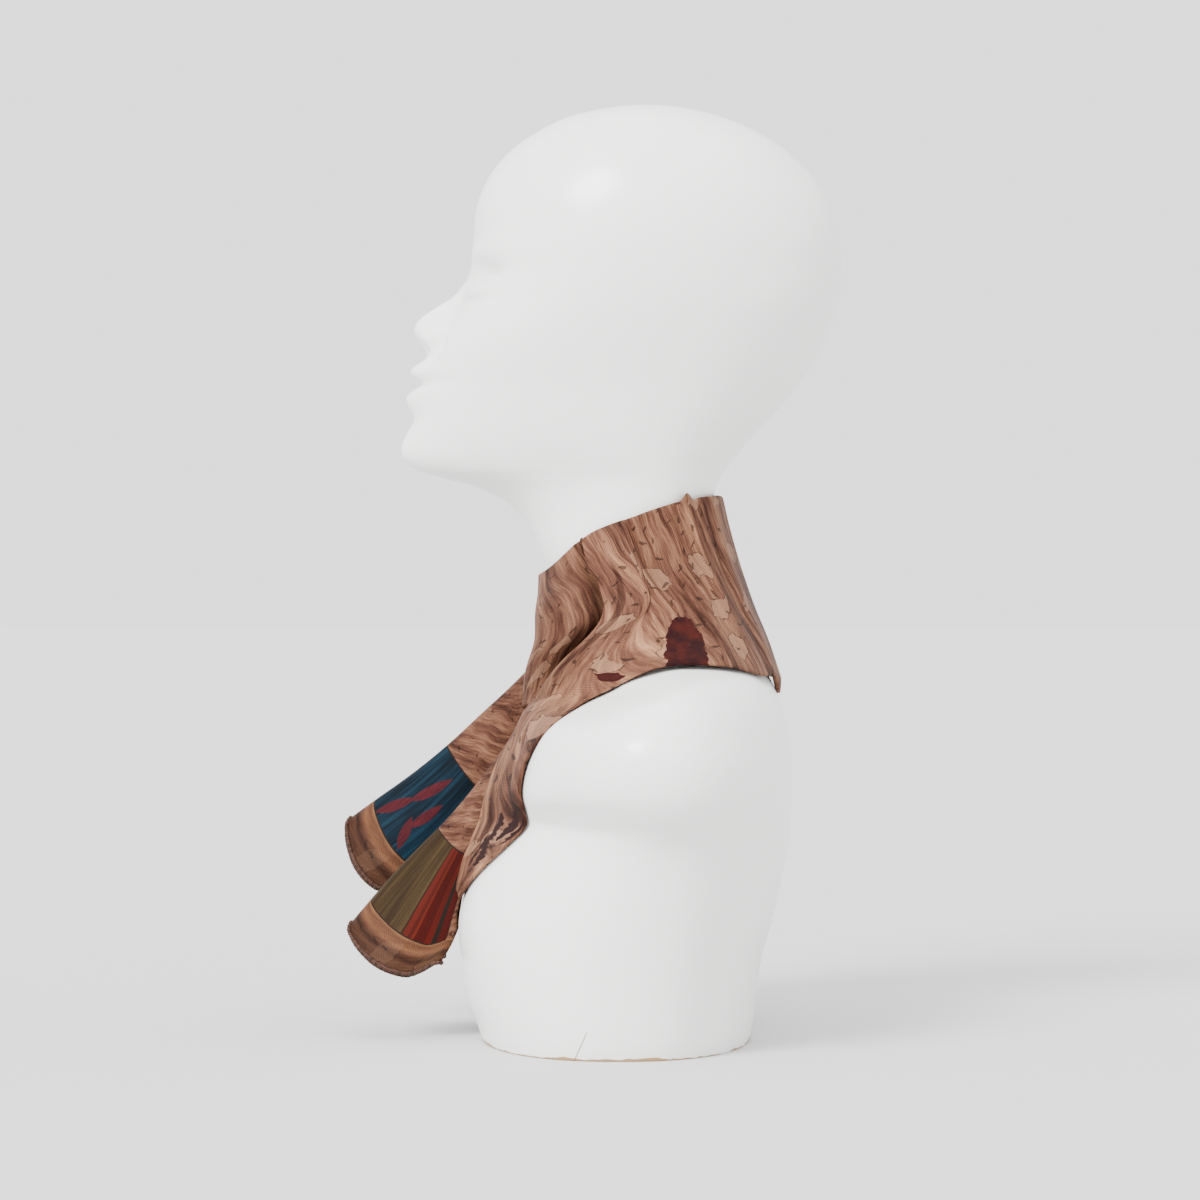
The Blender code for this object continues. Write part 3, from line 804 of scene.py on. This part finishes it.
def print_and_shade_field(silk, place, leaf, blunt=False):
    """Leaf field of one leaf at a listed place."""
    local = add_node(silk, "Mapping", {
        "Vector": place, "Location": (leaf.along, leaf.down, 0.0),
        "Rotation": (0.0, 0.0, math.radians(leaf.turn))}, vector_type="TEXTURE")
    return leaf_field(silk, local, leaf.half_length, leaf.half_width, blunt)


def scattered_leaves(silk, place, cell, half_length, half_width, share):
    """Leaf field of leaves turned any way, one in each share of the cells."""
    cells = add_node(silk, "TexVoronoi", {"Vector": place, "Scale": 1.0 / cell, "Randomness": 0.8})
    chance = add_node(silk, "SeparateColor", {0: cells.outputs["Color"]}).outputs
    away = add_node(silk, "VectorMath", {0: place, 1: cells.outputs["Position"]}, operation="SUBTRACT")
    angle = calc(silk, "MULTIPLY", chance["Red"], 2.0 * math.pi)
    local = add_node(silk, "VectorRotate", {"Vector": away, "Angle": angle}, rotation_type="Z_AXIS")
    field = leaf_field(silk, local, half_length, half_width)
    absent = calc(silk, "GREATER_THAN", chance["Green"], share)
    return calc(silk, "MULTIPLY_ADD", absent, NO_LEAF, field)


def printed_ground(silk, place):
    """Colour of the brown print: wavy streaks, with outlined leaves and sprigs between them."""
    wavy = shifted(silk, place, WAVE_SCALE, 2.0, WAVE_SHIFT)
    tone = 0.0
    for width, length, weight in STREAKS:
        streak = streaks(silk, wavy, (width, length), 2.0, math.radians(STREAK_LEAN), Roughness=0.6)
        tone = calc(silk, "MULTIPLY_ADD", streak, weight, tone)
    colour = add_node(silk, "ValToRGB", {0: tone}, stops=STREAK_STOPS)
    edge = shifted(silk, place, RAGGED_SCALE, 5.0, RAGGED_SHIFT)
    leaf = scattered_leaves(silk, edge, LEAF_CELL, LEAF_LENGTH, LEAF_WIDTH, LEAF_SHARE)
    faint = calc(silk, "MULTIPLY", calc(silk, "LESS_THAN", leaf, 1.0), LEAF_STRENGTH)
    colour = over(silk, faint, colour, linear(PALE_PRINT_HEX))
    outline = calc(silk, "COMPARE", leaf, 1.0, LEAF_OUTLINE)
    sprig = scattered_leaves(silk, edge, SPRIG_CELL, SPRIG_LENGTH, SPRIG_WIDTH, SPRIG_SHARE)
    ink = calc(silk, "MAXIMUM", outline, calc(silk, "LESS_THAN", sprig, 1.0))
    ink = calc(silk, "MULTIPLY", ink, INK_STRENGTH)
    return over(silk, ink, colour, linear(INK_AND_RIB_SHADE_HEX)), edge


brown, brown_place, *brown_threads = new_twill("Printed silk twill, brown")
brown_colour, ragged_place = printed_ground(brown, brown_place)
glow = add_node(brown, "TexNoise", {"Vector": brown_place, "Scale": GLOW_SCALE, "Detail": 4.0})
glow = calc(brown, "MULTIPLY_ADD", glow, GLOW_GAIN, -GLOW_DROP, clamp=True)
maroon = over(brown, glow, linear(MAROON_HEX), linear(GLOW_HEX))
shapes = [(leaf, ragged_place, maroon, 1.0) for leaf in MAROON_LEAVES]
shapes += [(leaf, ragged_place, linear(SPRAY_AND_SHADE_HEX), 1.0) for leaf in DARK_LEAVES]
# The crease lines and soft shades are painted shade in the folds, laid over the print in the spray's dark
# colour.
shapes += [(leaf, brown_place, linear(SPRAY_AND_SHADE_HEX), PAINTED_CREASE_STRENGTH) for leaf in PAINTED_CREASE_SHADES]
shapes += [(leaf, brown_place, linear(SPRAY_AND_SHADE_HEX), PAINTED_SHADE_STRENGTH) for leaf in PAINTED_SOFT_SHADES]
for leaf, place, print_and_shade_colour, strength in shapes:
    inside = add_node(brown, "MapRange", {
        "Value": print_and_shade_field(brown, place, leaf, blunt=True), "From Min": 1.0,
        "From Max": strength - PRINT_EDGE, "To Max": strength})
    brown_colour = over(brown, inside, brown_colour, print_and_shade_colour)
dye_and_shade_ribs(brown, brown_colour, *brown_threads)

winding = finish_cloth(build, "foulard_winding", WRAP_WALL, brown)
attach(winding, "root")
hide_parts("foulard_collar", "foulard_front_fold", "foulard_lapel_left", "foulard_lapel_right")

# The two ends of the band: each comes out under the front fold and stands away from the chest
# as a half-open arch. They are the outer layer of the folded square, with the next layer just
# inside it at the hem.
END_STEPS = 10
END_COLUMNS = 64
CURL_STEPS = 6
CURL_RADIUS = 2.6
END_WALL = 0.8
INNER_DEPTH = 2.0
INNER_ROWS = 3.0
INNER_REACH = 0.22
HEM_BOW = 6.0
CORNER_SWING = 80.0
CORNER_RISE = 9.0
CREST_DROP = 3.5
SIDE_DROOP = 1.4
DROOP_SWING = 88.0
DROOP_SPREAD = 28.0
CREST_SPREAD = 16.0
CURL_SWEEP = 150.0
BOW_SPREAD = 2.5
CHEST_GAP = 1.2
EndRow = namedtuple("EndRow", "crest_depth crest_height side half_width left_arch right_arch lean")
END_NEAR_ROWS = [EndRow(*row) for row in (
    (-45.3, 162.9, 4, 13, 2.6, 2.6, 45),
    (-52, 149, 4, 14, 6, 6, 45),
    (-61, 136, 4.5, 15, 9.5, 9.5, 44),
    (-72, 121.5, 5, 16.5, 14, 14, 42),
    (-84, 107.5, 6, 18, 19, 19, 39),
    (-97, 94.5, 7, 20, 27, 27, 36),
    (-110, 81, 8.5, 22, 35, 35, 33),
    (-122, 67.5, 10, 22.5, 42, 42, 30),
    (-133.5, 54, 11, 22.5, 45, 45, 28),
)]
END_FAR_ROWS = [EndRow(*row) for row in (
    (-43, 183, -14, 7, 4, 1.6, 48),
    (-54, 172, -20, 10, 14, 6, 49),
    (-67.5, 159.5, -28, 13.5, 23, 15, 50),
    (-82, 146, -35, 16.5, 29.5, 25, 51),
    (-95, 135, -40, 18.5, 34, 31.5, 52),
    (-108, 125, -44.5, 20, 38, 37, 53),
    (-123.5, 114, -48, 21, 41, 41, 54),
    (-138, 103.5, -50.5, 21, 43, 43, 55),
)]
# Soft lengthwise creases: where each lies across the arch at the root and at the hem, in
# degrees from the crest, its half width and how far it stands up.
EndCrease = namedtuple("EndCrease", "at_root at_hem width rise")
END_CREASES = [EndCrease(*row) for row in (
    (-70, -52, 9, 1),
    (-30, -24, 8, -0.8),
    (8, 16, 9, 0.7),
    (36, 47, 8, -0.8),
    (62, 72, 7, 0.8),
)]


def end_point(rows, row, swing, under):
    """Point of an end at a fractional row and a swing in degrees, some way under its surface."""
    form = table_row(rows, row)
    lean = math.radians(form.lean)
    turn = math.radians(max(-90.0, min(90.0, swing)))
    share = row / (len(rows) - 1)
    for crease in END_CREASES:
        middle = crease.at_root + share * (crease.at_hem - crease.at_root)
        under -= crease.rise * share * (1.4 - 0.6 * share) * bell(swing - middle, crease.width)
    arch = form.left_arch if swing > 0.0 else form.right_arch
    normal = Vector((arch * math.sin(turn), -form.half_width * math.cos(turn))).normalized()
    across = form.half_width * math.sin(turn) - under * normal.x
    deep = arch * (1.0 - math.cos(turn)) - under * normal.y
    if abs(swing) > 90.0:
        curl = math.radians(abs(swing) - 90.0)
        across -= math.copysign(CURL_RADIUS * (1.0 - math.cos(curl)), swing)
        deep += CURL_RADIUS * math.sin(curl)
    ahead = HEM_BOW * math.sin(math.pi * (1.0 - math.cos(turn)))
    past_corner = max(math.degrees(abs(turn)) - CORNER_SWING, 0.0) / (90.0 - CORNER_SWING)
    ahead += SIDE_DROOP * bell(abs(swing) - DROOP_SWING, DROOP_SPREAD)
    ahead -= CORNER_RISE * past_corner ** 2 + CREST_DROP * bell(swing, CREST_SPREAD)
    last, before = rows[-1], rows[-2]
    way = Vector((last.side - before.side, last.crest_depth - before.crest_depth,
                  last.crest_height - before.crest_height)).normalized()
    point = (Vector((form.side + across, form.crest_depth, form.crest_height))
             + Vector((0.0, deep * math.cos(lean), -deep * math.sin(lean)))
             + way * ahead * max(share, 0.0) ** BOW_SPREAD)
    point.y = min(point.y, chest_depth(point.x, point.z) - CHEST_GAP)
    return point


swings = [90.0 - 180.0 * c / END_COLUMNS for c in range(END_COLUMNS + 1)]
curls = [90.0 + CURL_SWEEP * (CURL_STEPS - c) / CURL_STEPS for c in range(CURL_STEPS)]
swings = curls + swings + [-swing for swing in reversed(curls)]


def end_layer(name, rows, first_row, last_row, under, material):
    """One layer of an end, with its map: metres up from the hem, and across from the crest."""
    places = [first_row + step / END_STEPS for step in range(int((last_row - first_row) * END_STEPS) + 1)]
    lines = [[end_point(rows, place, swing, under) for swing in swings] for place in places]
    crest = len(swings) // 2
    from_hem = [0.0]
    for upper, lower in zip(reversed(lines[:-1]), reversed(lines[1:])):
        from_hem.append(from_hem[-1] + (upper[crest] - lower[crest]).length)
    from_hem.reverse()
    across = [0.0]
    for point, other in zip(lines[-1], lines[-1][1:]):
        across.append(across[-1] + (other - point).length)
    build = bmesh.new()
    verts = []
    for line, height in zip(lines, from_hem):
        verts.append([build.verts.new(point * MM) for point in line])
        for vert, width in zip(verts[-1], across):
            band_place[vert] = (height * MM, (across[crest] - width) * MM)
    for upper, lower in zip(verts, verts[1:]):
        for start in range(len(swings) - 1):
            build.faces.new((upper[start + 1], lower[start + 1], lower[start], upper[start]))
    return finish_cloth(build, name, END_WALL, material), lines[-1]


# The prints of the ends: each has a striped brown border along its hem and a block of colour
# outlined in dark ink, one blue with crimson leaves and one olive with orange and red bars.
BORDER_WIDTH = 0.017
BORDER_STOPS = ((0.00, "#0C0605"), (0.06, "#2C1A10"), (0.26, "#3A2418"), (0.38, "#170B06"),
                (0.50, "#392319"), (0.64, "#67432D"), (0.86, "#4D3021"), (0.95, "#6D4C30"))
BORDER_WAVE_SCALE = 60.0
BORDER_DRIFT = (0.004, 0.0, 0.0)
BORDER_START = 0.12
BORDER_STRENGTH = 0.78
BLOCK_LENGTH = 0.047
OUTLINE_WIDTH = 0.0007
BLUE_STOPS = ((0.30, "#020A0F"), (0.45, "#04131C"), (0.56, "#081E2B"), (0.70, "#102D3A"))
CRIMSON_STOPS = ((0.35, "#2B0A11"), (0.65, "#4B191F"))
OLIVE_STOPS = ((0.30, "#1D1308"), (0.46, "#312513"), (0.60, "#41331D"), (0.74, "#4F3F23"))
RIB_LINE = 0.0011
# Strength of the painted shade laid over the ends' brown ground.
PAINTED_END_SHADE = 0.25


def block_mask(silk, parts, low, high, grow=0.0):
    """Mask of the block of colour between two distances from the crest."""
    half = 0.5 * BLOCK_LENGTH
    along = calc(silk, "COMPARE", parts["X"], BORDER_WIDTH + half, half + grow)
    across = calc(silk, "COMPARE", parts["Y"], 0.5 * (low + high), 0.5 * (high - low) + grow)
    return calc(silk, "MULTIPLY", along, across)


def lengthwise_streaks(silk, place, width, length, stops):
    """Streaks of colour that run up the end from its hem."""
    streak = streaks(silk, place, (length, width), Roughness=0.6)
    return add_node(silk, "ValToRGB", {0: streak}, stops=stops)


def end_twill(name, block):
    """Twill with its map, the brown ground under a painted shade, the striped border and the block's dark
    outline.
    """
    silk, place, rib, slub = new_twill(name)
    # The brown ground of both ends is darkened all over by a painted shade, meant for the shade at their
    # roots under the front fold.
    ground = over(silk, PAINTED_END_SHADE, printed_ground(silk, place)[0], linear(SPRAY_AND_SHADE_HEX))
    moved = shifted(silk, place, BORDER_WAVE_SCALE, 2.0, BORDER_DRIFT)
    moved = add_node(silk, "SeparateXYZ", {0: moved})
    share = calc(silk, "MULTIPLY_ADD", moved, 1.0 / BORDER_WIDTH, -BORDER_START)
    stripes = add_node(silk, "ValToRGB", {0: share}, stops=BORDER_STOPS)
    parts = add_node(silk, "SeparateXYZ", {0: place}).outputs
    border = calc(silk, "LESS_THAN", parts["X"], BORDER_WIDTH)
    colour = over(silk, calc(silk, "MULTIPLY", border, BORDER_STRENGTH), ground, stripes)
    colour = over(silk, block_mask(silk, parts, *block, OUTLINE_WIDTH), colour, linear(INK_AND_RIB_SHADE_HEX))
    return silk, place, parts, colour, rib, slub


# The blue end's crimson leaves lie slantwise in rows, each with lighter hatching.
CRIMSON_LEAVES = [PrintAndShadeShape(*row) for row in (
    (0.027, 0.017, 22, 0.0115, 0.003),
    (0.046, 0.025, 22, 0.013, 0.0033),
    (0.037, 0.035, 12, 0.01, 0.003),
    (0.025, 0.034, -34, 0.0085, 0.0028),
    (0.04, -0.014, -24, 0.012, 0.003),
    (0.027, -0.023, -24, 0.0095, 0.0027),
)]
BLUE_BLOCK = (-0.047, 0.047)
BLUE_STREAK = (0.0028, 0.045)
CRIMSON_STREAK = (0.0006, 0.009)
blue, blue_place, blue_parts, blue_colour, *blue_threads = end_twill(
    "Printed silk twill, blue end", BLUE_BLOCK)
blue_field = lengthwise_streaks(blue, blue_place, *BLUE_STREAK, BLUE_STOPS)
crimson = lengthwise_streaks(blue, blue_place, *CRIMSON_STREAK, CRIMSON_STOPS)
for leaf in CRIMSON_LEAVES:
    inside = calc(blue, "LESS_THAN", print_and_shade_field(blue, blue_place, leaf), 1.0)
    blue_field = over(blue, inside, blue_field, crimson)
blue_colour = over(blue, block_mask(blue, blue_parts, *BLUE_BLOCK), blue_colour, blue_field)
dye_and_shade_ribs(blue, blue_colour, *blue_threads)

# The olive end's block: olive crossed by fine ribs over the crest, a dark line, then bars of
# orange and red, and a teal one at the edge.
OLIVE_BLOCK = (-0.056, 0.062)
OLIVE_STREAK = (0.0042, 0.09)
RIB_HEX = "#15110B"
RIB_SHADE = 0.16
SHADE_HEX = "#1E110D"
SHADE_STREAK = (0.05, 0.0016)
SHADE_GAIN = 1.4
SHADE_DROP = 0.45
Bar = namedtuple("Bar", "low high hex_colour")
OLIVE_BARS = [Bar(*row) for row in (
    (-0.056, -0.013, "#3A0806"),
    (-0.013, -0.0095, "#501308"),
    (-0.0095, -0.009, "#160806"),
    (0.0343, 0.035, "#160806"),
    (0.035, 0.0385, "#501308"),
    (0.0385, 0.0405, "#420C06"),
    (0.0405, 0.042, "#57190A"),
    (0.042, 0.048, "#3A0806"),
    (0.048, 0.052, "#460E07"),
    (0.052, 0.0555, "#181310"),
    (0.0555, 0.062, "#3A0806"),
)]
olive, olive_place, olive_parts, olive_colour, *olive_threads = end_twill(
    "Printed silk twill, olive end", OLIVE_BLOCK)
olive_field = lengthwise_streaks(olive, olive_place, *OLIVE_STREAK, OLIVE_STOPS)
rib_phase = calc(olive, "MULTIPLY", olive_parts["X"], 2.0 * math.pi / RIB_LINE)
rib_shade = calc(olive, "MULTIPLY_ADD", calc(olive, "SINE", rib_phase), RIB_SHADE, RIB_SHADE)
olive_field = over(olive, rib_shade, olive_field, linear(RIB_HEX))
for bar in OLIVE_BARS:
    inside = calc(olive, "COMPARE", olive_parts["Y"], 0.5 * (bar.low + bar.high), 0.5 * (bar.high - bar.low))
    olive_field = over(olive, inside, olive_field, linear(bar.hex_colour))
shade = streaks(olive, olive_place, SHADE_STREAK)
shade = calc(olive, "MULTIPLY_ADD", shade, SHADE_GAIN, -SHADE_DROP, clamp=True)
olive_field = over(olive, shade, olive_field, linear(SHADE_HEX))
olive_colour = over(olive, block_mask(olive, olive_parts, *OLIVE_BLOCK), olive_colour, olive_field)
dye_and_shade_ribs(olive, olive_colour, *olive_threads)

# The hems: the edge of the square is rolled by hand into a thin cord and caught down with
# slanting whip stitches about every 3 mm.
HEM_RADIUS = 0.95 * MM
STITCH_SPACING = 3.0 * MM
STITCH_RADIUS = 0.17 * MM
STITCH_SLANT = 28.0
STITCH_STRETCH = (1.06, 1.2, 1.06)
HEM_HEX = "#4A3026"
THREAD_HEX = "#452F25"


def grained(name, roughness, specular, scale, detail, stops):
    """Plain material whose colour varies with a fine noise."""
    material, shader = new_material(name, {"Roughness": roughness, "Specular IOR Level": specular})
    grain = add_node(material, "TexNoise", {
        "Vector": add_node(material, "TexCoord").outputs["Object"], "Scale": scale, "Detail": detail})
    colour = add_node(material, "ValToRGB", {0: grain}, stops=stops)
    material.node_tree.links.new(colour.outputs["Color"], shader.inputs["Base Color"])
    return material


hem_silk = grained("Silk twill, rolled hem", 0.6, 0.1, 420.0, 3.0, ((0.35, "#2C1C15"), (0.65, HEM_HEX)))
thread_silk = grained("Silk sewing thread", 0.45, 0.5, 2400.0, 2.0, ((0.3, "#302019"), (0.7, THREAD_HEX)))

hem_tree = bpy.data.node_groups.new("Rolled hem with whip stitches", "GeometryNodeTree")
for way in ("INPUT", "OUTPUT"):
    hem_tree.interface.new_socket("Geometry", in_out=way, socket_type="NodeSocketGeometry")
hem_sizes = {"Hem radius": HEM_RADIUS, "Stitch spacing": STITCH_SPACING, "Stitch radius": STITCH_RADIUS}
hem_sockets = {
    name: hem_tree.interface.new_socket(name, in_out="INPUT", socket_type="NodeSocketFloat").identifier
    for name in hem_sizes}

given = hem_tree.nodes.new("NodeGroupInput").outputs
roll = add_node(hem_tree, "CurvePrimitiveCircle", {"Resolution": 10, "Radius": given["Hem radius"]})
hem_cord = add_node(hem_tree, "CurveToMesh", {
    "Curve": given["Geometry"], "Profile Curve": roll, "Fill Caps": True})
hem_cord = add_node(hem_tree, "SetMaterial", {"Geometry": hem_cord, "Material": hem_silk})
thread = add_node(hem_tree, "CurvePrimitiveCircle", {"Resolution": 5, "Radius": given["Stitch radius"]})
loop = add_node(hem_tree, "CurvePrimitiveCircle", {"Resolution": 10, "Radius": given["Hem radius"]})
stitch = add_node(hem_tree, "CurveToMesh", {"Curve": loop, "Profile Curve": thread})
stitch = add_node(hem_tree, "Transform", {
    "Geometry": stitch, "Rotation": (math.radians(STITCH_SLANT), 0.0, 0.0), "Scale": STITCH_STRETCH})
stitch = add_node(hem_tree, "SetMaterial", {"Geometry": stitch, "Material": thread_silk})
spots = add_node(hem_tree, "CurveToPoints", {
    "Curve": given["Geometry"], "Length": given["Stitch spacing"]}, mode="LENGTH")
stitches = add_node(hem_tree, "InstanceOnPoints", {
    "Points": spots, "Instance": stitch, "Rotation": spots.outputs["Rotation"]})
stitches = add_node(hem_tree, "RealizeInstances", {"Geometry": stitches})
joined = add_node(hem_tree, "JoinGeometry")
for part in (stitches, hem_cord):
    hem_tree.links.new(part.outputs["Geometry"], joined.inputs["Geometry"])
hem_end = hem_tree.nodes.new("NodeGroupOutput")
hem_tree.links.new(joined.outputs["Geometry"], hem_end.inputs["Geometry"])


def rolled_hem(name, points):
    """Hem cord and its stitches along a line of points, as one plain mesh."""
    path = bpy.data.curves.new(name + "_path", "CURVE")
    path.dimensions = "3D"
    spline = path.splines.new("POLY")
    spline.points.add(len(points) - 1)
    for spot, point in zip(spline.points, points):
        spot.co = (*(point * MM), 1.0)
    holder = place_object(name + "_path", path)
    sewing = holder.modifiers.new("Rolled hem", "NODES")
    sewing.node_group = hem_tree
    for size_name, value in hem_sizes.items():
        sewing[hem_sockets[size_name]] = value
    sewn = bpy.data.meshes.new_from_object(holder.evaluated_get(bpy.context.evaluated_depsgraph_get()))
    bpy.data.objects.remove(holder)
    sewn.name = name
    sewn.shade_smooth()
    hem = place_object(name, sewn)
    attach(hem, "root")
    return hem


# Each end put together: outer layer, its hem, and the next layer of the band inside it.
End = namedtuple("End", "name node rows material slot flat inner_flat")
ENDS = (
    End("near_end", "foulard_end_near", END_NEAR_ROWS, olive, "silk_twill_olive",
        (0.085, 0.135), (0.11, 0.055)),
    End("far_end", "foulard_end_far", END_FAR_ROWS, blue, "silk_twill_blue",
        (0.085, 0.115), (0.105, 0.05)),
)
for end in ENDS:
    last_row = len(end.rows) - 1
    outer, outer_hem = end_layer(end.name, end.rows, 0.0, last_row, 0.0, end.material)
    inner, inner_hem = end_layer(end.name + "_inner_layer", end.rows, last_row - INNER_ROWS,
                                 last_row + INNER_REACH, INNER_DEPTH, end.material)
    hem = rolled_hem(end.name + "_hem", outer_hem)
    inner_edge = rolled_hem(end.name + "_inner_hem", inner_hem)
    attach(outer, "root")
    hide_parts(end.node)
    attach(inner, "root")
